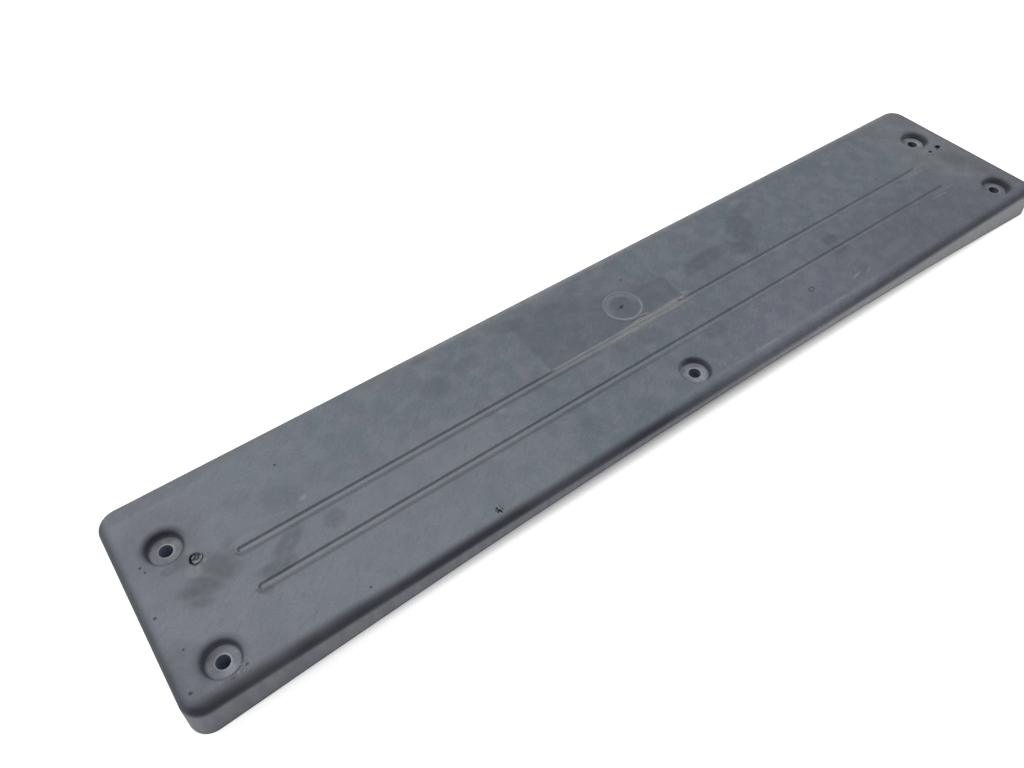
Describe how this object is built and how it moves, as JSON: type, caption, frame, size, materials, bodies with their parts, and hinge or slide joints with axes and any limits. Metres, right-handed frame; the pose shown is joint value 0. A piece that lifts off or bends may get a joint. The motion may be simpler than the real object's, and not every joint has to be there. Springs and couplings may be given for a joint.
{
  "type": "number plate holder",
  "caption": "Moulded plastic carrier that screws to a curved car bumper through recessed wells and backs a long number plate with a flat grooved face.",
  "frame": {"origin": "middle of the plane that the two short ends stand on, under the centre of the face", "axes": "+X along the length, +Y across the width towards the edge above the gate mark, +Z out of the front face"},
  "size_m": [0.521, 0.105, 0.0171],
  "materials": {
    "plastic": "fine matt grain, dark grey, worn and dusty"
  },
  "bodies": {
    "root": {"plate_holder": "plastic"}
  },
  "joints": []
}
